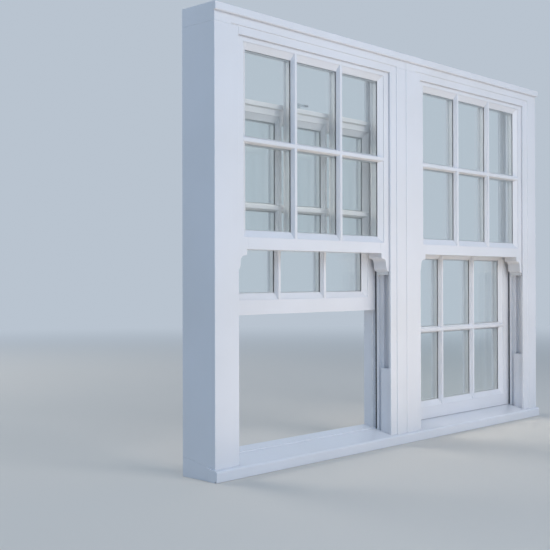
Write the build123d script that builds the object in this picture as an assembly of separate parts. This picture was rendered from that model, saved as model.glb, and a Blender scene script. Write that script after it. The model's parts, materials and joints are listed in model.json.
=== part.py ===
import os

from build123d import *

os.makedirs("parts", exist_ok=True)

# All sizes in mm. X runs across the window, Y from the weather side into the room, Z up.
# The origin is on the underside of the sill, on the joint between the two frames and
# in the plane of the outer frame face.

# frame
frame_half_width = 780.0
frame_height = 1150.0
outer_face_width = 84.0
middle_face_width = 76.0
head_face_height = 64.5
lip_cover = 18.5
band_width = 28.0
head_band_height = 21.5
band_step = 2.5
lip_back = 8.5
joint_gap = 1.2
joint_chamfer = 1.6
edge_chamfer = 0.8
end_reach = 4.0

# running tracks
run_gap = 0.7
sash_thickness = 46.0
parting_thickness = 12.4
parting_cover = 8.0
parting_round = 1.0
seal_rear = 1.6
seal_width = 4.2
seal_depth = 4.5
guide_width = 8.0
guide_cover = 5.0
guide_gap = 0.8
guide_round = 1.2
guide_centre = 82.0
channel_front = 25.0
channel_width = 17.0
channel_depth = 12.0
inner_margin = 1.0

# spring balances: a tube on the frame and a rod that hangs on the sash
tube_radius = 5.5
tube_bore = 4.0
rod_radius = 2.5
balance_groove_front = 92.0
balance_groove_width = 14.0
balance_groove_depth = 14.0
tube_head_gap = 24.0
bracket_head_gap = 7.0
upper_tube_gap = 16.0
upper_rod_gap = 40.0
lower_tube_lap = 44.0
lower_rod_lap = 40.0
lower_rod_low = 62.0

# sill
sill_nose = -10.0
sill_rise = 0.1763
sill_level = 29.2
sill_end_depth = 24.0
sill_nose_round = 3.6
sill_under_chamfer = 1.5
drip_back = -2.0
drip_width = 4.6
drip_depth = 3.5
drip_taper = 0.8
weather_bead_start = 72.0
weather_bead_width = 5.0
weather_bead_height = 3.0
weather_bead_taper = 0.6
weather_bead_gap = 1.5

# strip over the head
strip_reach = 8.0
strip_height = 22.0
strip_chamfer = 1.5
strip_fall = 3.0

# stop blocks in the outer tracks
block_top = 222.0
block_cover = 10.0
block_rear = 47.0
block_slope = 3.0
block_gap = 2.0

# sashes
side_gap = 2.0
stile_width = 56.4
top_rail_height = 46.4
meeting_rail_height = 47.8
meeting_offset = 11.5
lower_glass_bottom = 98.3
bar_width = 19.0
glass_depth = 11.3
glass_thickness = 4.0
cavity = 12.0
glazing_gap = 0.2
spacer_gap = 0.1
glass_hold = 6.0
glass_edge_gap = 1.0
bead_width = 17.0
bead_step = 2.2
bead_ledge = 0.9
bar_flat = 9.4
inner_flat = 9.0
inner_straight = 5.0
inner_bead = 8.0
spacer_width = 6.0
spacer_edge_gap = 1.2
sill_clearance = 1.2
head_clearance = 2.0
meeting_reach = 6.4
meeting_band = 12.0
meeting_round = 1.5
meeting_slope = 4.0
bead_reach = 3.0
raised_height = 350.0

# horns and balance feet
horn_start = 5.0
horn_drop = 10.0
horn_round = 6.0
horn_flat = 2.0
horn_scoop = 14.0
horn_neck = 12.0
horn_taper = 1.6
horn_toe_round = 10.0
horn_length = 54.0
foot_height = 9.0
foot_width = 15.4
foot_inset = 3.0
foot_side_gap = 1.0

# fittings
fastener_length = 62.0
fastener_width = 24.0
fastener_plate = 4.0
fastener_screws = 44.0
post_radius = 8.0
post_top = 14.0
arm_gap = 0.4
arm_thickness = 5.0
arm_reach = 38.0
arm_width = 11.0
grip_reach = 27.0
grip_width = 7.0
knob_radius = 5.5
knob_height = 10.0
keep_length = 46.0
keep_width = 12.0
keep_plate = 2.4
lift_spacing = 300.0
lift_low = 54.0
lift_width = 44.0
lift_height = 34.0
lift_plate = 2.5
lift_hook_width = 30.0
lift_root = 8.0
lift_root_height = 5.0
lift_reach = 27.0
lift_drop = 4.0

# derived positions
light_centre = (middle_face_width + frame_half_width - outer_face_width) / 2
lip_half_opening = (frame_half_width - outer_face_width - middle_face_width) / 2
stile_face = lip_half_opening + lip_cover
lip_head_height = frame_height - head_face_height
head_soffit = lip_head_height + lip_cover
half_length = frame_half_width + end_reach
far = 2 * frame_half_width + frame_height
upper_front = lip_back + run_gap
upper_back = upper_front + sash_thickness
parting_front = upper_back + run_gap
parting_back = parting_front + parting_thickness
lower_front = parting_back + run_gap
lower_back = lower_front + sash_thickness
frame_back = lower_back + inner_margin

sash_half_width = stile_face - side_gap
glass_half_width = sash_half_width - stile_width
pane_width = (2 * glass_half_width - 2 * bar_width) / 3
upper_top = head_soffit - head_clearance
upper_glass_top = upper_top - top_rail_height
glass_height = (upper_glass_top - lower_glass_bottom - meeting_rail_height - meeting_offset) / 2
pane_height = (glass_height - bar_width) / 2
upper_glass_bottom = upper_glass_top - glass_height
upper_bottom = upper_glass_bottom - meeting_rail_height
lower_top = lower_glass_bottom + glass_height + meeting_rail_height
inner_glass = glass_depth + 2 * glass_thickness + cavity + 2 * glazing_gap

foot_low = upper_bottom - horn_length - foot_height
tube_high = head_soffit - tube_head_gap
bracket_high = head_soffit - bracket_head_gap
upper_tube_low = foot_low + upper_tube_gap
upper_rod_top = tube_high - upper_rod_gap
lower_tube_low = lower_top - lower_tube_lap
lower_rod_top = lower_tube_low + lower_rod_lap
balance_centre = balance_groove_front + balance_groove_width / 2
channel_centre = channel_front + channel_width / 2
upper_balance_x = stile_face + channel_depth / 2
lower_balance_x = sash_half_width - balance_groove_depth / 2 + guide_gap / 2


def block(x0, x1, y0, y1, z0, z1):
    return Pos((x0 + x1) / 2, (y0 + y1) / 2, (z0 + z1) / 2) * Box(abs(x1 - x0), abs(y1 - y0), abs(z1 - z0))


def group(pieces):
    """Like pieces that share one node, as a flat group of separate solids."""
    return Compound([solid for piece in pieces for solid in piece.solids()])


def sill_top(y):
    return sill_level + sill_rise * y


def along_x(points, x0, x1):
    """Profile given as (y, z) points, extruded from x0 to x1."""
    face = make_face(Polyline(*[(x0, y, z) for y, z in points], close=True))
    return extrude(face, x1 - x0, dir=(1, 0, 0))


def along_z(points, z0, z1):
    """Profile given as (x, y) points, extruded from z0 to z1."""
    face = make_face(Polyline(*[(x, y, z0) for x, y in points], close=True))
    return extrude(face, z1 - z0, dir=(0, 0, 1))


def along_y(points, y0, y1):
    """Profile given as (x, z) points, extruded from y0 to y1."""
    face = make_face(Polyline(*[(x, y0, z) for x, z in points], close=True))
    return extrude(face, y1 - y0, dir=(0, 1, 0))


def under_slope(lift):
    """Everything below a plane that lies parallel to the sill top."""
    y0, y1 = -frame_back, 2 * frame_back
    points = [(y0, -far), (y1, -far), (y1, sill_top(y1) + lift), (y0, sill_top(y0) + lift)]
    return along_x(points, -far, far)


# frame pieces


def make_sill():
    nose_top = sill_top(sill_nose)
    bead_end = weather_bead_start + weather_bead_width
    points = [
        (sill_nose, sill_under_chamfer),
        (sill_nose, nose_top - sill_nose_round),
        (sill_nose + sill_nose_round / 3, nose_top - sill_nose_round / 3),
        (sill_nose + sill_nose_round, sill_top(sill_nose + sill_nose_round)),
        (weather_bead_start, sill_top(weather_bead_start)),
        (weather_bead_start + weather_bead_taper, sill_top(weather_bead_start) + weather_bead_height),
        (bead_end - weather_bead_taper, sill_top(bead_end) + weather_bead_height),
        (bead_end, sill_top(bead_end)),
        (frame_back, sill_top(frame_back)),
        (frame_back, 0.0),
        (drip_back, 0.0),
        (drip_back - drip_taper, drip_depth),
        (drip_back - drip_width + drip_taper, drip_depth),
        (drip_back - drip_width, 0.0),
        (sill_nose + sill_under_chamfer, 0.0),
    ]
    sill = along_x(points, -half_length, half_length)
    for side in (-1, 1):
        sill -= block(side * frame_half_width, side * far, sill_end_depth, far, -far, far)
    return sill


def jamb(side, near_middle):
    """One jamb of the light on the given side, with its face, covering lip and balance channel."""
    sign = -1 if near_middle else 1
    face = light_centre + sign * stile_face
    arris = light_centre + sign * lip_half_opening
    step = arris + sign * band_width
    outer = joint_gap / 2 if near_middle else frame_half_width
    chamfer = joint_chamfer if near_middle else edge_chamfer
    points = [
        (outer, chamfer),
        (outer - sign * chamfer, 0.0),
        (step + sign * 0.6, 0.0),
        (step, band_step),
        (arris + sign * edge_chamfer, band_step),
        (arris, band_step + edge_chamfer),
        (arris, lip_back),
        (face, lip_back),
        (face, channel_front),
        (face + sign * channel_depth, channel_front),
        (face + sign * channel_depth, channel_front + channel_width),
        (face, channel_front + channel_width),
        (face, frame_back),
        (outer, frame_back),
    ]
    piece = along_z([(side * x, y) for x, y in points], 0, head_soffit)
    return piece - under_slope(0.0)


def head(side):
    left, right = joint_gap / 2, frame_half_width
    step_low = light_centre - lip_half_opening - band_width
    step_high = light_centre + lip_half_opening + band_width
    low = light_centre - lip_half_opening
    high = light_centre + lip_half_opening
    body = block(left, right, 0.0, frame_back, head_soffit, frame_height)
    body -= block(step_low, step_high, -1, band_step, head_soffit - 1, lip_head_height + head_band_height)
    inner_low, inner_high = light_centre - stile_face, light_centre + stile_face
    body += block(inner_low + parting_cover, inner_high - parting_cover,
                  parting_front, parting_back, head_soffit - parting_cover, head_soffit)
    lip = along_x(
        [(band_step + edge_chamfer, lip_head_height), (lip_back, lip_head_height), (lip_back, head_soffit),
         (band_step, head_soffit), (band_step, lip_head_height + edge_chamfer)],
        low, high)
    body += lip
    if side < 0:
        body = mirror(body, about=Plane.YZ)
    return body


def make_strip():
    bottom = frame_height - strip_height
    points = [
        (0.0, bottom),
        (-strip_reach + strip_chamfer, bottom),
        (-strip_reach, bottom + strip_chamfer),
        (-strip_reach, frame_height - strip_fall),
        (0.0, frame_height),
    ]
    return along_x(points, -half_length, half_length)


def parting_bead(side, near_middle):
    """Bead between the two tracks, with a kerf in its edge for the pile seal."""
    sign = -1 if near_middle else 1
    face = light_centre + sign * stile_face
    edge = face - sign * parting_cover
    kerf_rear = parting_back - seal_rear
    kerf_front = kerf_rear - seal_width
    points = [
        (face, parting_front),
        (edge + sign * parting_round, parting_front),
        (edge, parting_front + parting_round),
        (edge, kerf_front),
        (edge + sign * seal_depth, kerf_front),
        (edge + sign * seal_depth, kerf_rear),
        (edge, kerf_rear),
        (edge, parting_back - parting_round),
        (edge + sign * parting_round, parting_back),
        (face, parting_back),
    ]
    piece = along_z([(side * x, y) for x, y in points], 0, head_soffit)
    return piece - under_slope(0.0)


def guide_strip(side, near_middle):
    """Rib in an inner track that runs in the groove of the lower sash."""
    sign = -1 if near_middle else 1
    face = light_centre + sign * stile_face
    edge = face - sign * guide_cover
    half = guide_width / 2
    points = [
        (face, guide_centre - half),
        (edge + sign * guide_round, guide_centre - half),
        (edge, guide_centre - half + guide_round),
        (edge, guide_centre + half - guide_round),
        (edge + sign * guide_round, guide_centre + half),
        (face, guide_centre + half),
    ]
    piece = along_z([(side * x, y) for x, y in points], 0, head_soffit)
    return piece - under_slope(0.0)


def stop_block(side, near_middle):
    """Block that fills the foot of an outer track and ends the travel of the upper sash."""
    sign = -1 if near_middle else 1
    face = light_centre + sign * stile_face
    edge = face - sign * block_cover
    points = [
        (face, lip_back),
        (edge, lip_back),
        (edge, block_rear - block_slope),
        (edge + sign * block_slope, block_rear),
        (face, block_rear),
        (face, channel_front + channel_width),
        (face + sign * (channel_depth - block_gap), channel_front + channel_width),
        (face + sign * (channel_depth - block_gap), channel_front),
        (face, channel_front),
    ]
    piece = along_z([(side * x, y) for x, y in points], 0, block_top)
    return piece - under_slope(0.0)


def balance_tube(x, y, low, bracket):
    """Balance tube closed at its head, with the bracket that holds it to the jamb."""
    tube = Pos(x, y, (low + tube_high) / 2) * Cylinder(tube_radius, tube_high - low)
    tube -= Pos(x, y, (low + tube_high) / 2 - 4) * Cylinder(tube_bore, tube_high - low)
    return tube + bracket


def balance_tubes(side):
    """The two tubes of the upper sash in their channels and the two of the lower sash in its grooves."""
    tubes = []
    for hand in (-1, 1):
        x = side * light_centre + hand * upper_balance_x
        face = side * light_centre + hand * stile_face
        bracket = block(face + hand * 0.5, face + hand * channel_depth,
                        channel_front, channel_front + channel_width, tube_high - 2, bracket_high)
        tubes.append(balance_tube(x, channel_centre, upper_tube_low, bracket))
        x = side * light_centre + hand * lower_balance_x
        bracket = block(x - hand * tube_radius, face,
                        balance_centre - tube_radius, balance_centre + tube_radius, tube_high, bracket_high)
        tubes.append(balance_tube(x, balance_centre, lower_tube_low, bracket))
    return group(tubes)


# sashes, drawn about the centre of a light with the outer face at y = 0


def sash_ring(bottom, top, glass_bottom):
    """Full blank with the glass opening, its outer bevel, glass groove and inner bevel."""
    middle = glass_bottom + glass_height / 2
    ring = block(-sash_half_width, sash_half_width, 0, sash_thickness, bottom, top)
    width, height = 2 * glass_half_width, glass_height
    ring -= block(-glass_half_width, glass_half_width, -1, sash_thickness + 1,
                  glass_bottom, glass_bottom + height)
    rim = 2 * bead_width
    step = Pos(0, bead_step / 2 - 0.5, middle) * Box(width + rim, bead_step + 1, height + rim)
    ring -= step
    bevel_depth = glass_depth - bead_step
    reach = bead_width - bead_ledge
    ring -= frustum(width, height, reach, bevel_depth, glass_depth, middle, -1)
    groove = Pos(0, (glass_depth + inner_glass) / 2, middle) * Box(
        width + 2 * glass_hold, inner_glass - glass_depth, height + 2 * glass_hold)
    ring -= groove
    inner_depth = sash_thickness - inner_glass - inner_straight
    ring -= frustum(width, height, inner_bead, inner_depth, inner_glass + inner_straight, middle, 1)
    return ring


def frustum(width, height, reach, depth, start, middle, way):
    """Sloping cut that opens by reach on all four sides over its depth, towards way."""
    end = start + way * depth
    high, far = height / 2, width / 2
    level = along_x(
        [(start, middle - high), (start, middle + high),
         (end, middle + high + reach), (end, middle - high - reach)],
        -far - reach - 5, far + reach + 5)
    upright = along_z(
        [(-far, start), (far, start), (far + reach, end), (-far - reach, end)],
        middle - high - reach - 5, middle + high + reach + 5)
    return level & upright


def bar_points():
    half = bar_width / 2
    web = half - glass_hold
    return [
        (-bar_flat / 2, 0.0),
        (bar_flat / 2, 0.0),
        (bar_flat / 2, bead_step),
        (bar_flat / 2 + bead_ledge, bead_step),
        (half, glass_depth),
        (web, glass_depth),
        (web, inner_glass),
        (half, inner_glass),
        (half, inner_glass + inner_straight),
        (inner_flat / 2, sash_thickness - 1.0),
        (-inner_flat / 2, sash_thickness - 1.0),
        (-half, inner_glass + inner_straight),
        (-half, inner_glass),
        (-web, inner_glass),
        (-web, glass_depth),
        (-half, glass_depth),
        (-bar_flat / 2 - bead_ledge, bead_step),
        (-bar_flat / 2, bead_step),
    ]


def sash_bars(glass_bottom, ring):
    """Two upright bars crossed by one level bar, scribed to the mouldings of the frame members."""
    over = bead_width + bead_reach
    middle = glass_bottom + glass_height / 2
    pitch = pane_width + bar_width
    bars = None
    for centre in (-pitch / 2, pitch / 2):
        upright = along_z([(centre + x, y) for x, y in bar_points()], glass_bottom - over,
                          glass_bottom + glass_height + over)
        bars = upright if bars is None else bars + upright
    level = along_x([(y, middle + x) for x, y in bar_points()],
                    -glass_half_width - over, glass_half_width + over)
    bars += level
    bars -= ring
    keep = block(-glass_half_width - bead_width, glass_half_width + bead_width, -1, sash_thickness + 1,
                 glass_bottom - bead_width, glass_bottom + glass_height + bead_width)
    bars &= keep
    solids = sorted(bars.solids(), key=lambda s: -s.volume)
    return solids[0]


def pane_centres(glass_bottom):
    pitch_x = pane_width + bar_width
    pitch_z = pane_height + bar_width
    for row in (0, 1):
        for column in (-1, 0, 1):
            yield column * pitch_x, glass_bottom + pane_height / 2 + row * pitch_z


def sash_glass(glass_bottom):
    """Outer and inner pane of each of the six sealed units."""
    edge = 2 * (glass_hold - glass_edge_gap)
    panes = []
    for x, z in pane_centres(glass_bottom):
        for front in (glass_depth + glazing_gap, inner_glass - glazing_gap - glass_thickness):
            panes.append(Pos(x, front + glass_thickness / 2, z)
                         * Box(pane_width + edge, glass_thickness, pane_height + edge))
    return group(panes)


def sash_spacers(glass_bottom):
    """Hollow metal bar round the cavity of each sealed unit."""
    edge = 2 * (glass_hold - glass_edge_gap - spacer_edge_gap)
    rings = []
    for x, z in pane_centres(glass_bottom):
        width, height = pane_width + edge, pane_height + edge
        depth = cavity - 2 * spacer_gap
        ring = Box(width, depth, height) - Box(width - 2 * spacer_width, depth + 2, height - 2 * spacer_width)
        rings.append(Pos(x, (glass_depth + inner_glass) / 2, z) * ring)
    return group(rings)


def horn(side, rail_bottom):
    """Run-through end of an upper stile, cut to an ogee on its inner side."""
    x = glass_half_width + horn_start
    z = rail_bottom - horn_drop
    scoop_x, scoop_z = x + horn_round + horn_flat, z - horn_round
    neck_x, neck_z = scoop_x + horn_scoop, scoop_z - horn_scoop
    toe_x, toe_z = neck_x + horn_taper, neck_z - horn_neck
    low = rail_bottom - horn_length
    inner = [
        Line((x, rail_bottom + 1), (x, z)),
        TangentArc((x, z), (x + horn_round, scoop_z), tangent=(0, -1)),
        Line((x + horn_round, scoop_z), (scoop_x, scoop_z)),
        TangentArc((scoop_x, scoop_z), (neck_x, neck_z), tangent=(1, 0)),
        Line((neck_x, neck_z), (toe_x, toe_z)),
        TangentArc((toe_x, toe_z), (toe_x + horn_toe_round, toe_z - horn_toe_round), tangent=(0, -1)),
    ]
    outer = Polyline((toe_x + horn_toe_round, toe_z - horn_toe_round), (toe_x + horn_toe_round, low),
                     (sash_half_width, low), (sash_half_width, rail_bottom + 1), (x, rail_bottom + 1))
    outline = Plane.XZ * make_face([edge for line in inner + [outer] for edge in line.edges()])
    piece = extrude(outline, sash_thickness, dir=(0, 1, 0))
    return piece if side > 0 else mirror(piece, about=Plane.YZ)


def sash_members(ring, bottom, top):
    line = glass_half_width
    half = (bottom + top) / 2
    parts = {}
    parts["stile_left"] = ring & block(-far, -line, -far, far, -far, far)
    parts["stile_right"] = ring & block(line, far, -far, far, -far, far)
    parts["top_rail"] = ring & block(-line, line, -far, far, half, far)
    parts["bottom_rail"] = ring & block(-line, line, -far, far, -far, half)
    return parts


def upper_sash():
    ring = sash_ring(upper_bottom, upper_top, upper_glass_bottom)
    bars = sash_bars(upper_glass_bottom, ring)
    parts = sash_members(ring, upper_bottom, upper_top)
    for side, name in ((-1, "stile_left"), (1, "stile_right")):
        parts[name] += horn(side, upper_bottom)
    reach = sash_thickness + meeting_reach
    rear = [(sash_thickness - 2, upper_bottom), (reach - meeting_round, upper_bottom),
            (reach, upper_bottom + meeting_round), (reach, upper_bottom + meeting_band),
            (sash_thickness - 2, upper_bottom + meeting_band + meeting_slope)]
    parts["bottom_rail"] += along_x(rear, -glass_half_width, glass_half_width)
    parts["bottom_rail"] += block(-glass_half_width, glass_half_width, inner_glass, sash_thickness,
                                  upper_glass_bottom - meeting_band, upper_glass_bottom)
    bars -= parts["bottom_rail"]
    parts["bars"] = max(bars.solids(), key=lambda s: s.volume)
    parts["glass"] = sash_glass(upper_glass_bottom)
    parts["spacers"] = sash_spacers(upper_glass_bottom)
    parts["balance_rods"] = group([upper_rod(-1), upper_rod(1)])
    return parts


def upper_rod(side):
    """Foot under a horn, with the arm that reaches into the channel and the rod that stands on it."""
    y = channel_centre - upper_front
    foot_edge = sash_half_width - foot_side_gap
    foot = block(side * (foot_edge - foot_width), side * foot_edge,
                 foot_inset, sash_thickness - foot_inset, foot_low, foot_low + foot_height)
    arm = block(side * (sash_half_width - 2.0), side * (upper_balance_x + rod_radius + 1.0), y - 4.0, y + 4.0,
                foot_low + 3.0, foot_low + foot_height)
    rod_low = foot_low + 4.0
    rod = Cylinder(rod_radius, upper_rod_top - rod_low)
    rod = Pos(side * upper_balance_x, y, (rod_low + upper_rod_top) / 2) * rod
    return foot + arm + rod


def lower_sash():
    ring = sash_ring(0.0, lower_top, lower_glass_bottom)
    ring -= Pos(0, -lower_front, 0) * under_slope(sill_clearance)
    groove_start = weather_bead_start - lower_front - weather_bead_gap
    ring -= block(-far, far, groove_start, groove_start + weather_bead_width + 2 * weather_bead_gap, -far,
                  sill_top(weather_bead_start + weather_bead_width) + weather_bead_height + weather_bead_gap)
    guide = guide_centre - lower_front
    half = guide_width / 2 + guide_gap
    balance = balance_groove_front - lower_front
    for side in (-1, 1):
        ring -= block(side * (stile_face - guide_cover - guide_gap), side * far,
                      guide - half, guide + half, -far, far)
        ring -= block(side * (sash_half_width - balance_groove_depth), side * far,
                      balance, balance + balance_groove_width, -far, far)
    parts = sash_members(ring, 0.0, lower_top)
    front = [(2, lower_top), (-meeting_reach + meeting_round, lower_top),
             (-meeting_reach, lower_top - meeting_round), (-meeting_reach, lower_top - meeting_band),
             (2, lower_top - meeting_band - meeting_slope)]
    parts["top_rail"] += along_x(front, -glass_half_width, glass_half_width)
    parts["bars"] = sash_bars(lower_glass_bottom, ring)
    parts["glass"] = sash_glass(lower_glass_bottom)
    parts["spacers"] = sash_spacers(lower_glass_bottom)
    parts["balance_rods"] = group([lower_rod(-1), lower_rod(1)])
    return parts


def lower_rod(side):
    """Rod in the stile groove of a lower sash, on the small foot that carries the sash."""
    y = balance_centre - lower_front
    half = balance_groove_width / 2
    foot = block(side * (sash_half_width - balance_groove_depth), side * (sash_half_width - 0.5),
                 y - half, y + half, lower_rod_low, lower_rod_low + 6.0)
    low = lower_rod_low + 1.0
    rod = Cylinder(rod_radius, lower_rod_top - low)
    rod = Pos(side * lower_balance_x, y, (low + lower_rod_top) / 2) * rod
    return foot + rod


# fittings, in the same local frame as the sashes


def fastener_base():
    centre = sash_thickness / 2
    top = lower_top + fastener_plate
    plate = Box(fastener_length, fastener_width, fastener_plate)
    plate = Pos(0, centre, lower_top + fastener_plate / 2) * plate
    plate = fillet(plate.edges().filter_by(Axis.Z), post_radius - 2.0)
    base = plate + Pos(0, centre, (lower_top + lower_top + post_top) / 2) * Cylinder(post_radius, post_top)
    for x in (-fastener_screws / 2, fastener_screws / 2):
        base -= Pos(x, centre, top) * Cylinder(3.4, 1.6)
    return base


def fastener_arm():
    """Arm at rest along the rail; a quarter turn carries it over the keep."""
    low = lower_top + post_top + arm_gap
    level = Pos(0, sash_thickness / 2, low + arm_thickness / 2)
    hub = Cylinder(post_radius, arm_thickness)
    arm = Pos(arm_reach / 2, 0, 0) * Box(arm_reach, arm_width, arm_thickness)
    tip = Pos(arm_reach, 0, 0) * Cylinder(arm_width / 2, arm_thickness)
    grip = Pos(-grip_reach / 2, 0, 0) * Box(grip_reach, grip_width, arm_thickness)
    knob = Pos(-grip_reach, 0, 0) * Cylinder(knob_radius, knob_height)
    knob = chamfer(knob.edges(), 1.2)
    cap = Pos(0, 0, arm_thickness / 2 + 1.0) * Cylinder(post_radius - 3.5, 2.0)
    return level * (hub + arm + tip + grip + knob + cap)


def fastener_keep():
    rear = inner_glass + 1.2 + keep_width
    return block(-keep_length / 2, keep_length / 2, rear - keep_width, rear,
                 upper_glass_bottom, upper_glass_bottom + keep_plate)


def sash_lifts():
    """Two hooked lifts on the room side of the bottom rail."""
    face = sash_thickness + lift_plate
    root = lift_low + lift_root
    tip = sash_thickness + lift_reach
    profile = [(face, root), (tip - 7, root - 2), (tip - 3, lift_low - lift_drop),
               (tip, lift_low - lift_drop + 1), (tip - 3.5, root + 2), (face, root + lift_root_height)]
    lifts = []
    for x in (-lift_spacing / 2, lift_spacing / 2):
        plate = block(x - lift_width / 2, x + lift_width / 2, sash_thickness, face,
                      lift_low, lift_low + lift_height)
        lifts.append(plate + along_x(profile, x - lift_hook_width / 2, x + lift_hook_width / 2))
    return group(lifts)


# assembly

nodes = {"sill": make_sill(), "head_strip": make_strip()}
sides = {"left": -1, "right": 1}
for name, side in sides.items():
    nodes[f"head_{name}"] = head(side)
    nodes[f"guide_strips_{name}"] = group([guide_strip(side, False), guide_strip(side, True)])
    nodes[f"balance_tubes_{name}"] = balance_tubes(side)
    for place, near_middle in (("outer", False), ("middle", True)):
        nodes[f"jamb_{name}_{place}"] = jamb(side, near_middle) - nodes["sill"]
        nodes[f"parting_bead_{name}_{place}"] = parting_bead(side, near_middle)
        nodes[f"stop_block_{name}_{place}"] = stop_block(side, near_middle)

upper_parts = upper_sash()
lower_parts = lower_sash()
lower_parts["lifts"] = sash_lifts()
lower_parts["fastener_base"] = fastener_base()
lower_parts["fastener_arm"] = fastener_arm()
upper_parts["fastener_keep"] = fastener_keep()

for name, side in sides.items():
    raised = raised_height if name == "left" else 0.0
    for part, shape in upper_parts.items():
        nodes[f"upper_{name}_{part}"] = Pos(side * light_centre, upper_front, 0) * shape
    for part, shape in lower_parts.items():
        nodes[f"lower_{name}_{part}"] = Pos(side * light_centre, lower_front, raised) * shape

for node, shape in nodes.items():
    solids = shape.solids()
    export_step(solids[0] if len(solids) == 1 else group(solids), f"parts/{node}.step")
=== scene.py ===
import json
import math
import random

import bmesh
import bpy
from mathutils import Matrix, Vector


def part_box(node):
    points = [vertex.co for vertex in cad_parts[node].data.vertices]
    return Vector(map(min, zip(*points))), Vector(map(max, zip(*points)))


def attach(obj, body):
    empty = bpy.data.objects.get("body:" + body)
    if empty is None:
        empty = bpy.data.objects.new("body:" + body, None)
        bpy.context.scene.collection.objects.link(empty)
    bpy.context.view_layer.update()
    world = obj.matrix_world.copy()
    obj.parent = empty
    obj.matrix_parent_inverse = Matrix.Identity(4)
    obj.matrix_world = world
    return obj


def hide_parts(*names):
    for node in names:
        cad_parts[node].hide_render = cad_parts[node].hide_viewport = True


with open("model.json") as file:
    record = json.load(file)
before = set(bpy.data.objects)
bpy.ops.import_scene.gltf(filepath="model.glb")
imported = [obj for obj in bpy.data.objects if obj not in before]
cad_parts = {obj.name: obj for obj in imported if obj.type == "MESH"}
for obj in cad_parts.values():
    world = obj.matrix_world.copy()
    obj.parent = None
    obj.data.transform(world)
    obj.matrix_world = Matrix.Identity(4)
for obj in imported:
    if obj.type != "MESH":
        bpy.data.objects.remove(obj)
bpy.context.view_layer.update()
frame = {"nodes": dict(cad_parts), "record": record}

nodes = frame["nodes"]
bodyOf = {}
for bodyName, members in frame["record"]["behaviour"]["bodies"].items():
    for member in members:
        bodyOf[member] = bodyName
slotOf = {entry["node"]: entry["material_slot"] for entry in frame["record"]["subparts"]}
print("frame loaded:", len(nodes), "nodes")

mm = 0.001
sides = ("left", "right")
hands = (-1, 1)


# materials: every pattern reads Object coordinates, in metres
def newMaterial(name):
    material = bpy.data.materials.new(name)
    material.use_nodes = True
    tree = material.node_tree
    return material, tree, tree.nodes["Principled BSDF"]


def objectPattern(tree, scale):
    coordinates = tree.nodes.new("ShaderNodeTexCoord")
    mapping = tree.nodes.new("ShaderNodeMapping")
    mapping.inputs["Scale"].default_value = scale
    tree.links.new(coordinates.outputs["Object"], mapping.inputs["Vector"])
    return mapping.outputs["Vector"]


def noise(tree, vector, scale, detail, roughness):
    node = tree.nodes.new("ShaderNodeTexNoise")
    node.inputs["Scale"].default_value = scale
    node.inputs["Detail"].default_value = detail
    node.inputs["Roughness"].default_value = roughness
    tree.links.new(vector, node.inputs["Vector"])
    return node.outputs["Fac"]


def spread(tree, value, low, high):
    node = tree.nodes.new("ShaderNodeMapRange")
    node.inputs["To Min"].default_value = low
    node.inputs["To Max"].default_value = high
    tree.links.new(value, node.inputs["Value"])
    return node.outputs["Result"]


def ramp(tree, value, stops):
    # a colour ramp between two stops
    node = tree.nodes.new("ShaderNodeValToRGB")
    for element, (place, colour) in zip(node.color_ramp.elements, stops):
        element.position = place
        element.color = (*colour, 1)
    tree.links.new(value, node.inputs["Fac"])
    return node.outputs["Color"]


def bump(tree, height, strength, distance, under=None):
    node = tree.nodes.new("ShaderNodeBump")
    node.inputs["Strength"].default_value = strength
    node.inputs["Distance"].default_value = distance
    tree.links.new(height, node.inputs["Height"])
    if under is not None:
        tree.links.new(under, node.inputs["Normal"])
    return node.outputs["Normal"]


unscaled = (1, 1, 1)
levelAxis, uprightAxis = 0, 2
paint = {
    "pale": (0.75, 0.76, 0.80), "warm": (0.72, 0.727, 0.755), "warmStop": 0.32, "paleStop": 0.6,
    "patchScale": 4.0, "patchDetail": 3.0, "patchRoughness": 0.5,
    "strokeAlong": 6.0, "strokeAcross": 420.0, "strokeDetail": 3.0, "strokeRoughness": 0.55,
    "strokeDepth": 0.2 * mm, "strokeStrength": 0.55,
    "grainAlong": 2.5, "grainAcross": 120.0, "grainDetail": 5.0, "grainRoughness": 0.6,
    "grainDepth": 0.3 * mm, "grainStrength": 0.4,
    "rough": (0.27, 0.42), "sillRough": (0.14, 0.26),
}


def drawnOut(tree, kind, alongAxis):
    # noise drawn out along the timber, for brush strokes and for grain
    scale = [paint[kind + "Across"]] * 3
    scale[alongAxis] = paint[kind + "Along"]
    return noise(tree, objectPattern(tree, scale), 1.0, paint[kind + "Detail"], paint[kind + "Roughness"])


def brushedPaint(name, alongAxis, rough):
    # satin paint laid off along the timber, with the grain showing faintly through it
    material, tree, shader = newMaterial(name)
    strokes = drawnOut(tree, "stroke", alongAxis)
    grain = drawnOut(tree, "grain", alongAxis)
    patches = noise(tree, objectPattern(tree, unscaled), paint["patchScale"], paint["patchDetail"],
                    paint["patchRoughness"])
    colour = ramp(tree, patches, [(paint["warmStop"], paint["warm"]), (paint["paleStop"], paint["pale"])])
    tree.links.new(colour, shader.inputs["Base Color"])
    tree.links.new(spread(tree, strokes, *rough), shader.inputs["Roughness"])
    grainNormal = bump(tree, grain, paint["grainStrength"], paint["grainDepth"])
    normal = bump(tree, strokes, paint["strokeStrength"], paint["strokeDepth"], grainNormal)
    tree.links.new(normal, shader.inputs["Normal"])
    return material


glassLook = {"tint": (0.965, 0.985, 0.98), "rough": 0.0, "ior": 1.5, "transmission": 1.0,
             "waveScale": 3.0, "waveDetail": 1.0, "waveRoughness": 0.4,
             "waveDepth": 0.25 * mm, "waveStrength": 0.08}


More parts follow.
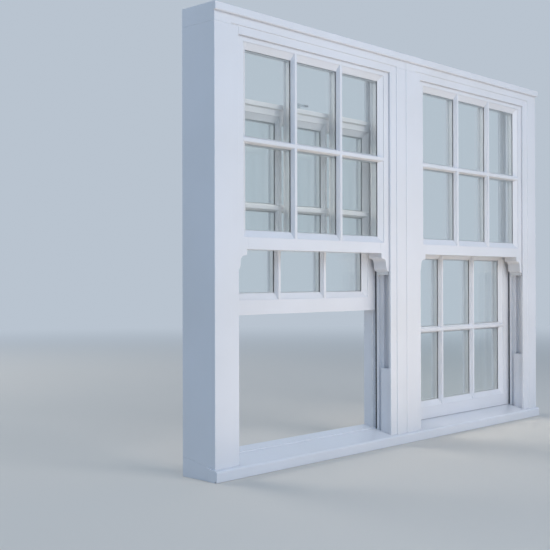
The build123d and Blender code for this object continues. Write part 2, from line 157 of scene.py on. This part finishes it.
def glassMaterial():
    material, tree, shader = newMaterial("clearGlass")
    shader.inputs["Base Color"].default_value = (*glassLook["tint"], 1)
    shader.inputs["Roughness"].default_value = glassLook["rough"]
    shader.inputs["IOR"].default_value = glassLook["ior"]
    shader.inputs["Transmission Weight"].default_value = glassLook["transmission"]
    waves = noise(tree, objectPattern(tree, unscaled), glassLook["waveScale"], glassLook["waveDetail"],
                  glassLook["waveRoughness"])
    normal = bump(tree, waves, glassLook["waveStrength"], glassLook["waveDepth"])
    tree.links.new(normal, shader.inputs["Normal"])
    return material


metal = {"metallic": 1.0, "detail": 4.0, "roughness": 0.6, "darker": 0.86, "darkStop": 0.25, "paleStop": 0.7,
         "bump": 0.2}
plastic = {"metallic": 0.0, "detail": 3.0, "roughness": 0.5, "darker": 0.9, "darkStop": 0.3, "paleStop": 0.7,
           "bump": 0.15}


def clouded(name, kind, colour, rough, grain, depth):
    # a metal or plastic that is a little uneven in colour, gloss and surface
    material, tree, shader = newMaterial(name)
    shader.inputs["Metallic"].default_value = kind["metallic"]
    cloud = noise(tree, objectPattern(tree, grain), 1.0, kind["detail"], kind["roughness"])
    dark = tuple(kind["darker"] * c for c in colour)
    tree.links.new(ramp(tree, cloud, [(kind["darkStop"], dark), (kind["paleStop"], colour)]),
                   shader.inputs["Base Color"])
    tree.links.new(spread(tree, cloud, *rough), shader.inputs["Roughness"])
    tree.links.new(bump(tree, cloud, kind["bump"], depth), shader.inputs["Normal"])
    return material


paintUpright = brushedPaint("paintUpright", uprightAxis, paint["rough"])
paintLevel = brushedPaint("paintLevel", levelAxis, paint["rough"])
paintSill = brushedPaint("paintSill", levelAxis, paint["sillRough"])
clearGlass = glassMaterial()
spacerMetal = clouded("spacerMetal", metal, colour=(0.80, 0.81, 0.82), rough=(0.30, 0.42),
                      grain=(300, 300, 300), depth=0.05 * mm)
chrome = clouded("chromePolished", metal, colour=(0.80, 0.81, 0.83), rough=(0.07, 0.18),
                 grain=(90, 90, 90), depth=0.015 * mm)
steel = clouded("balanceSteel", metal, colour=(0.60, 0.61, 0.63), rough=(0.25, 0.40),
                grain=(80, 80, 200), depth=0.03 * mm)
whitePlastic = clouded("whitePlastic", plastic, colour=(0.74, 0.75, 0.77), rough=(0.3, 0.42),
                       grain=(60, 60, 60), depth=0.05 * mm)
darkPile = clouded("darkPile", plastic, colour=(0.028, 0.03, 0.036), rough=(0.85, 1.0),
                   grain=(900, 900, 2500), depth=0.3 * mm)
print("materials ready")


# common steps for every new piece
usualSharp = math.radians(40)


def weightedShading(piece, sharpAngle):
    mesh = piece.data
    mesh.polygons.foreach_set("use_smooth", [True] * len(mesh.polygons))
    mesh.set_sharp_from_angle(angle=sharpAngle)
    weighted = piece.modifiers.new("weightedNormals", "WEIGHTED_NORMAL")
    weighted.keep_sharp = True


def addPiece(name, shape, material, body, sharpAngle=usualSharp):
    mesh = bpy.data.meshes.new(name)
    shape.to_mesh(mesh)
    shape.free()
    mesh.materials.append(material)
    piece = bpy.data.objects.new(name, mesh)
    bpy.context.scene.collection.objects.link(piece)
    weightedShading(piece, sharpAngle)
    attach(piece, body)
    return piece


def addBlock(shape, low, high):
    # a box between two corners
    low, high = Vector(low), Vector(high)
    place = Matrix.Translation((low + high) / 2) @ Matrix.Diagonal((*(high - low), 1))
    bmesh.ops.create_cube(shape, size=1.0, matrix=place)


def easeEdges(shape, width, segments, sharpAngle, clamped=True):
    edges = [e for e in shape.edges if e.is_manifold and e.calc_face_angle() > sharpAngle]
    bmesh.ops.bevel(shape, geom=edges, offset=width, offset_type="OFFSET", segments=segments,
                    profile=0.5, affect="EDGES", clamp_overlap=clamped, material=-1)


# the modelled shapes with their arrises rounded over, as sanding leaves them
# only the kerfed parting beads need the width held back by their narrow faces
easing = {"timber": 0.5 * mm, "plastic": 0.4 * mm, "metal": 0.3 * mm, "segments": 2,
          "sharp": math.radians(22), "merge": 0.004 * mm, "clamped": "parting_bead"}


def easedCopy(node, width, material):
    shape = bmesh.new()
    shape.from_mesh(nodes[node].data)
    bmesh.ops.remove_doubles(shape, verts=shape.verts, dist=easing["merge"])
    easeEdges(shape, width, easing["segments"], easing["sharp"], easing["clamped"] in node)
    bmesh.ops.triangulate(shape, faces=shape.faces)
    piece = addPiece(node + "Eased", shape, material, bodyOf[node])
    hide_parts(node)


levelNames = ("head", "top_rail", "bottom_rail")


def timberPaint(node):
    if node == "sill":
        return paintSill
    return paintLevel if any(word in node for word in levelNames) else paintUpright


for node in sorted(nodes):
    if slotOf[node] == "white_paint":
        easedCopy(node, easing["timber"], timberPaint(node))
    elif slotOf[node] == "guide_plastic":
        easedCopy(node, easing["plastic"], whitePlastic)
    elif slotOf[node] == "chrome":
        easedCopy(node, easing["metal"], chrome)
print("timber and fittings eased")

finishes = {"glass": clearGlass, "spacer_metal": spacerMetal, "balance_tube": whitePlastic,
            "balance_steel": steel}
for node, cadObject in nodes.items():
    if slotOf[node] in finishes:
        cadObject.data.materials.clear()
        cadObject.data.materials.append(finishes[slotOf[node]])
        cadObject.visible_shadow = slotOf[node] != "glass"  # light passes through the panes


# spring balances: twisted strip rods on moulded feet
spiral = {"width": 4.6 * mm, "thickness": 1.5 * mm, "pitch": 30 * mm, "stepsPerTurn": 12}
upperFoot = {"width": 15.4 * mm, "height": 9 * mm, "ease": 0.9 * mm, "easeSegments": 3,
             "armReach": 12.5 * mm, "armFront": 17.3 * mm, "armWidth": 8 * mm, "armLift": 3 * mm,
             "armLap": 1 * mm, "rodInset": 3.5 * mm, "rodStart": 4 * mm}
lowerFoot = {"width": 13.5 * mm, "height": 6 * mm, "ease": 0.6 * mm, "easeSegments": 3,
             "rodInset": 6.1 * mm, "rodStart": 1 * mm}


def addSpiral(shape, x, y, low, high):
    halfWidth, halfThickness = spiral["width"] / 2, spiral["thickness"] / 2
    corners = ((-1, -1), (1, -1), (1, 1), (-1, 1))
    ring = [shape.verts.new((x + i * halfWidth, y + j * halfThickness, low)) for i, j in corners]
    edges = [shape.edges.new(pair) for pair in zip(ring, ring[1:] + ring[:1])]
    steps = int((high - low) / (spiral["pitch"] / spiral["stepsPerTurn"]))
    bmesh.ops.spin(shape, geom=ring + edges, cent=(x, y, low), axis=(0, 0, 1),
                   dvec=(0, 0, (high - low) / steps), angle=2 * math.pi * steps / spiral["stepsPerTurn"],
                   steps=steps, use_duplicate=False)
    ends = [e for e in shape.edges if e.is_boundary]
    bmesh.ops.holes_fill(shape, edges=ends, sides=len(corners))


def addUpperFoot(shape, hand, low, high):
    # a block under the horn, and an arm that reaches into the balance groove
    outer = high.x - upperFoot["armReach"] if hand > 0 else low.x + upperFoot["armReach"]
    inner = outer - hand * upperFoot["width"]
    top = low.z + upperFoot["height"]
    addBlock(shape, (min(outer, inner), low.y, low.z), (max(outer, inner), high.y, top))
    end = high.x if hand > 0 else low.x
    start = outer - hand * upperFoot["armLap"]
    armFront = low.y + upperFoot["armFront"]
    addBlock(shape, (min(start, end), armFront, low.z + upperFoot["armLift"]),
             (max(start, end), armFront + upperFoot["armWidth"], top))


def addLowerFoot(shape, hand, low, high):
    outer = high.x if hand > 0 else low.x
    inner = outer - hand * lowerFoot["width"]
    addBlock(shape, (min(outer, inner), low.y, low.z), (max(outer, inner), high.y, low.z + lowerFoot["height"]))


def makeBalance(sash, side, foot, addFoot):
    node = f"{sash}_{side}_balance_rods"
    low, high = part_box(node)
    rods, feet = bmesh.new(), bmesh.new()
    # an upper rod stands over the arm of its foot, a lower one in the middle
    armMiddle = low.y + upperFoot["armFront"] + upperFoot["armWidth"] / 2
    rodY = armMiddle if sash == "upper" else (low.y + high.y) / 2
    for hand in hands:
        rodX = high.x - foot["rodInset"] if hand > 0 else low.x + foot["rodInset"]
        addSpiral(rods, rodX, rodY, low.z + foot["rodStart"], high.z)
        addFoot(feet, hand, low, high)
    bmesh.ops.recalc_face_normals(rods, faces=rods.faces)
    easeEdges(feet, foot["ease"], foot["easeSegments"], easing["sharp"])
    name = sash + side.capitalize()
    rodPiece = addPiece(name + "SpiralRods", rods, steel, bodyOf[node])
    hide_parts(node)
    footPiece = addPiece(name + "BalanceFeet", feet, whitePlastic, bodyOf[node])
    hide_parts(node)


for side in sides:
    makeBalance("upper", side, upperFoot, addUpperFoot)
    makeBalance("lower", side, lowerFoot, addLowerFoot)
print("balances made")


# brush pile pressed into the kerf of each parting bead
pileSeal = {"rear": 1.7 * mm, "width": 4.0 * mm, "depth": 4.4 * mm, "proud": 0.6 * mm, "lift": 4 * mm,
            "topGap": 1 * mm, "tuft": 2.4 * mm, "fray": 0.22 * mm, "longEdge": 100 * mm,
            "sharp": math.radians(25)}


def makePileSeal(side, place):
    bead = f"parting_bead_{side}_{place}"
    low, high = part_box(bead)
    headLow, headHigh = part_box(f"head_{side}")
    way = 1 if low.x + high.x < headLow.x + headHigh.x else -1
    edge = high.x if way > 0 else low.x
    ends = sorted((edge - way * pileSeal["depth"], edge + way * pileSeal["proud"]))
    rear = high.y - pileSeal["rear"]
    shape = bmesh.new()
    addBlock(shape, (ends[0], rear - pileSeal["width"], low.z + pileSeal["lift"]),
             (ends[1], rear, high.z - pileSeal["topGap"]))
    long = [e for e in shape.edges if abs(e.verts[0].co.z - e.verts[1].co.z) > pileSeal["longEdge"]]
    cuts = int((high.z - low.z) / pileSeal["tuft"])
    bmesh.ops.subdivide_edges(shape, edges=long, cuts=cuts, use_grid_fill=True)
    tips = random.Random(bead)
    for vertex in shape.verts:
        if (vertex.co.x - edge) * way > 0:
            vertex.co.x += tips.uniform(-1, 1) * pileSeal["fray"]
            vertex.co.y += tips.uniform(-1, 1) * pileSeal["fray"]
    addPiece(f"pileSeal{side.capitalize()}{place.capitalize()}", shape, darkPile, bodyOf[bead],
             pileSeal["sharp"])


for side in sides:
    for place in ("outer", "middle"):
        makePileSeal(side, place)
print("pile seals made")


# slotted screws in the fittings: the profile is given in shares of the radius and of the height
screw = {"segments": 20, "profile": ((0, 0), (1, 0), (1, 0.25), (0.8, 0.72), (0.45, 0.93), (0, 1)),
         "slotWidth": 0.9 * mm, "slotDepth": 0.45 * mm, "slotShare": 0.6, "slotFacing": 0.3,
         "merge": 0.001 * mm, "cut": 0.0001 * mm}


def addScrew(shape, centre, normal, radius, height, turn):
    # a low domed head spun from its half outline, with a slot sunk in its top
    head = bmesh.new()
    points = [head.verts.new((across * radius, 0, up * height)) for across, up in screw["profile"]]
    edges = [head.edges.new(pair) for pair in zip(points, points[1:])]
    bmesh.ops.spin(head, geom=points + edges, cent=(0, 0, 0), axis=(0, 0, 1), angle=2 * math.pi,
                   steps=screw["segments"], use_merge=True)
    bmesh.ops.remove_doubles(head, verts=head.verts, dist=screw["merge"])
    bmesh.ops.recalc_face_normals(head, faces=head.faces)
    half = screw["slotWidth"] / 2
    for side in hands:
        geometry = list(head.verts) + list(head.edges) + list(head.faces)
        bmesh.ops.bisect_plane(head, geom=geometry, dist=screw["cut"], plane_co=(side * half, 0, 0),
                               plane_no=(1, 0, 0))
    slot = [f for f in head.faces if f.normal.z > screw["slotFacing"] and abs(f.calc_center_median().x) < half]
    sunk = bmesh.ops.extrude_face_region(head, geom=slot)["geom"]
    bmesh.ops.delete(head, geom=slot, context="FACES")
    sunkVerts = [item for item in sunk if isinstance(item, bmesh.types.BMVert)]
    depth = min(screw["slotDepth"], screw["slotShare"] * height)
    bmesh.ops.translate(head, verts=sunkVerts, vec=(0, 0, -depth))
    bmesh.ops.rotate(head, verts=head.verts, cent=(0, 0, 0), matrix=Matrix.Rotation(turn, 3, "Z"))
    upright = Vector((0, 0, 1)).rotation_difference(Vector(normal)).to_matrix()
    bmesh.ops.rotate(head, verts=head.verts, cent=(0, 0, 0), matrix=upright)
    bmesh.ops.translate(head, verts=head.verts, vec=centre)
    holder = bpy.data.meshes.new("screwHolder")
    head.to_mesh(holder)
    head.free()
    shape.from_mesh(holder)
    bpy.data.meshes.remove(holder)


fastenerScrew = {"radius": 3.1 * mm, "height": 1.0 * mm, "spacing": 44 * mm, "seat": 3.2 * mm, "turn": 0.5}
liftScrew = {"radius": 2.6 * mm, "height": 1.1 * mm, "across": 17 * mm, "drop": 6.5 * mm, "plate": 2.5 * mm,
             "spacing": 300 * mm, "turn": 0.3}
keepScrew = {"radius": 2.3 * mm, "height": 0.35 * mm, "spacing": 34 * mm, "sink": 0.05 * mm, "turn": 1.1}
bracketScrew = {"radius": 3.0 * mm, "height": 0.9 * mm, "drop": 9 * mm, "front": 8.5 * mm, "inset": 11.5 * mm,
                "turn": 0.7}


def fastenerScrews(shape, side):
    low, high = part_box(f"lower_{side}_fastener_base")
    for hand in hands:
        centre = ((low.x + high.x) / 2 + hand * fastenerScrew["spacing"] / 2, (low.y + high.y) / 2,
                  low.z + fastenerScrew["seat"])
        addScrew(shape, centre, (0, 0, 1), fastenerScrew["radius"], fastenerScrew["height"],
                 fastenerScrew["turn"] + hand)


def liftScrews(shape, side):
    low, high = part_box(f"lower_{side}_lifts")
    middle = (low.x + high.x) / 2
    for lift in hands:
        for hand in hands:
            x = middle + lift * liftScrew["spacing"] / 2 + hand * liftScrew["across"]
            centre = (x, low.y + liftScrew["plate"], high.z - liftScrew["drop"])
            addScrew(shape, centre, (0, 1, 0), liftScrew["radius"], liftScrew["height"],
                     liftScrew["turn"] * hand + lift)


def keepScrews(shape, side):
    low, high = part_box(f"upper_{side}_fastener_keep")
    for hand in hands:
        centre = ((low.x + high.x) / 2 + hand * keepScrew["spacing"] / 2, (low.y + high.y) / 2,
                  high.z - keepScrew["sink"])
        addScrew(shape, centre, (0, 0, 1), keepScrew["radius"], keepScrew["height"], keepScrew["turn"] * hand)


def bracketScrews(shape, side):
    low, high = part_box(f"balance_tubes_{side}")
    for hand in hands:
        x = high.x - bracketScrew["inset"] if hand > 0 else low.x + bracketScrew["inset"]
        centre = (x, low.y + bracketScrew["front"], high.z - bracketScrew["drop"])
        addScrew(shape, centre, (-hand, 0, 0), bracketScrew["radius"], bracketScrew["height"],
                 bracketScrew["turn"])


screwSets = (("fastenerScrews", fastenerScrews, "lower_{}_fastener_base", chrome, "chrome"),
             ("liftScrews", liftScrews, "lower_{}_lifts", chrome, "chrome"),
             ("keepScrews", keepScrews, "upper_{}_fastener_keep", chrome, "chrome"),
             ("bracketScrews", bracketScrews, "balance_tubes_{}", steel, "balance_steel"))
for side in sides:
    for name, addScrews, carrier, material, slotName in screwSets:
        shape = bmesh.new()
        addScrews(shape, side)
        addPiece(name + side.capitalize(), shape, material, bodyOf[carrier.format(side)])
print("screws made")


# floor, light and camera
studio = {"floor": (0.68, 0.645, 0.59), "floorRough": 0.9, "radius": 60.0, "segments": 96,
          "backdrop": (0.485, 0.55, 0.63), "fadeStart": 2.2, "fadeEnd": 7.5,
          "sky": (0.50, 0.71, 1.0), "skyStrength": 0.48}


def makeFloor():
    # paper that fades into the backdrop far from the window
    mesh = bpy.data.meshes.new("floor")
    shape = bmesh.new()
    bmesh.ops.create_circle(shape, cap_ends=True, segments=studio["segments"], radius=studio["radius"])
    shape.to_mesh(mesh)
    shape.free()
    floor = bpy.data.objects.new("floor", mesh)
    bpy.context.scene.collection.objects.link(floor)
    material, tree, shader = newMaterial("floorPaper")
    shader.inputs["Base Color"].default_value = (*studio["floor"], 1)
    shader.inputs["Roughness"].default_value = studio["floorRough"]
    glow = tree.nodes.new("ShaderNodeEmission")
    glow.inputs["Color"].default_value = (*studio["backdrop"], 1)
    distance = tree.nodes.new("ShaderNodeVectorMath")
    distance.operation = "LENGTH"
    tree.links.new(objectPattern(tree, unscaled), distance.inputs[0])
    fade = tree.nodes.new("ShaderNodeMapRange")
    fade.interpolation_type = "SMOOTHSTEP"
    fade.inputs["From Min"].default_value = studio["fadeStart"]
    fade.inputs["From Max"].default_value = studio["fadeEnd"]
    tree.links.new(distance.outputs["Value"], fade.inputs["Value"])
    mix = tree.nodes.new("ShaderNodeMixShader")
    tree.links.new(fade.outputs["Result"], mix.inputs["Fac"])
    tree.links.new(shader.outputs["BSDF"], mix.inputs[1])
    tree.links.new(glow.outputs["Emission"], mix.inputs[2])
    tree.links.new(mix.outputs["Shader"], tree.nodes["Material Output"].inputs["Surface"])
    mesh.materials.append(material)


def makeWorld():
    # camera, glossy and transmission rays meet the pale backdrop, and the sky colour lights the object
    world = bpy.data.worlds.new("studioWorld")
    bpy.context.scene.world = world
    world.use_nodes = True
    tree = world.node_tree
    sky = tree.nodes["Background"]
    sky.inputs["Color"].default_value = (*studio["sky"], 1)
    sky.inputs["Strength"].default_value = studio["skyStrength"]
    backdrop = tree.nodes.new("ShaderNodeBackground")
    backdrop.inputs["Color"].default_value = (*studio["backdrop"], 1)
    rays = tree.nodes.new("ShaderNodeLightPath")
    seen = rays.outputs["Is Camera Ray"]
    for kind in ("Is Glossy Ray", "Is Transmission Ray"):
        either = tree.nodes.new("ShaderNodeMath")
        either.operation = "MAXIMUM"
        tree.links.new(seen, either.inputs[0])
        tree.links.new(rays.outputs[kind], either.inputs[1])
        seen = either.outputs["Value"]
    mix = tree.nodes.new("ShaderNodeMixShader")
    tree.links.new(seen, mix.inputs["Fac"])
    tree.links.new(sky.outputs["Background"], mix.inputs[1])
    tree.links.new(backdrop.outputs["Background"], mix.inputs[2])
    tree.links.new(mix.outputs["Shader"], tree.nodes["World Output"].inputs["Surface"])


aimPoint = (0, 0, 0.6)
lamps = {
    "frontSoft": {"place": (0.1, -4.7, 3.2), "aim": aimPoint, "size": (3.2, 3.2), "power": 106,
                  "colour": (1.0, 0.96, 0.955)},
    "leftSoft": {"place": (-3.1, -4.0, 2.6), "aim": aimPoint, "size": (3.0, 3.0), "power": 34,
                 "colour": (0.42, 0.70, 1.0)},
    "floorBounce": {"place": (0, -0.66, 0.02), "aim": (0, -0.60, 1.0), "size": (1.7, 0.9), "power": 6.6,
                    "colour": (1.0, 0.80, 0.58)},
    "backSoft": {"place": (-1.2, 4.6, 3.6), "aim": aimPoint, "size": (3.2, 3.2), "power": 105,
                 "colour": (1.0, 0.965, 0.92)},
}


def makeLamps():
    for name, values in lamps.items():
        light = bpy.data.lights.new(name, "AREA")
        light.shape = "ELLIPSE"
        light.size, light.size_y = values["size"]
        light.energy = values["power"]
        light.color = values["colour"]
        lamp = bpy.data.objects.new(name, light)
        lamp.location = values["place"]
        aim = Vector(values["aim"]) - lamp.location
        lamp.rotation_euler = aim.to_track_quat("-Z", "Y").to_euler()
        lamp.visible_camera = lamp.visible_transmission = False
        bpy.context.scene.collection.objects.link(lamp)


view = {"place": (-2.3793, -1.6973, 0.4836), "turn": 46.82, "pitch": 0.264, "roll": -0.145, "lens": 63.99,
        "sensor": 36, "near": 0.05, "far": 200}


def makeCamera():
    turn, pitch, roll = (math.radians(view[key]) for key in ("turn", "pitch", "roll"))
    right = Vector((math.cos(turn), -math.sin(turn), 0))
    ahead = Vector((math.sin(turn) * math.cos(pitch), math.cos(turn) * math.cos(pitch), math.sin(pitch)))
    top = right.cross(ahead)
    across = right * math.cos(roll) + top * math.sin(roll)
    upward = top * math.cos(roll) - right * math.sin(roll)
    camera = bpy.data.cameras.new("photoView")
    camera.lens = view["lens"]
    camera.sensor_width = view["sensor"]
    camera.clip_start = view["near"]
    camera.clip_end = view["far"]
    viewer = bpy.data.objects.new("photoView", camera)
    turned = Matrix((across, upward, -ahead)).transposed().to_4x4()
    viewer.matrix_world = Matrix.Translation(view["place"]) @ turned
    bpy.context.scene.collection.objects.link(viewer)
    bpy.context.scene.camera = viewer


makeFloor()
makeWorld()
makeLamps()
makeCamera()
bpy.context.scene.view_settings.view_transform = "Standard"
print("stage ready")
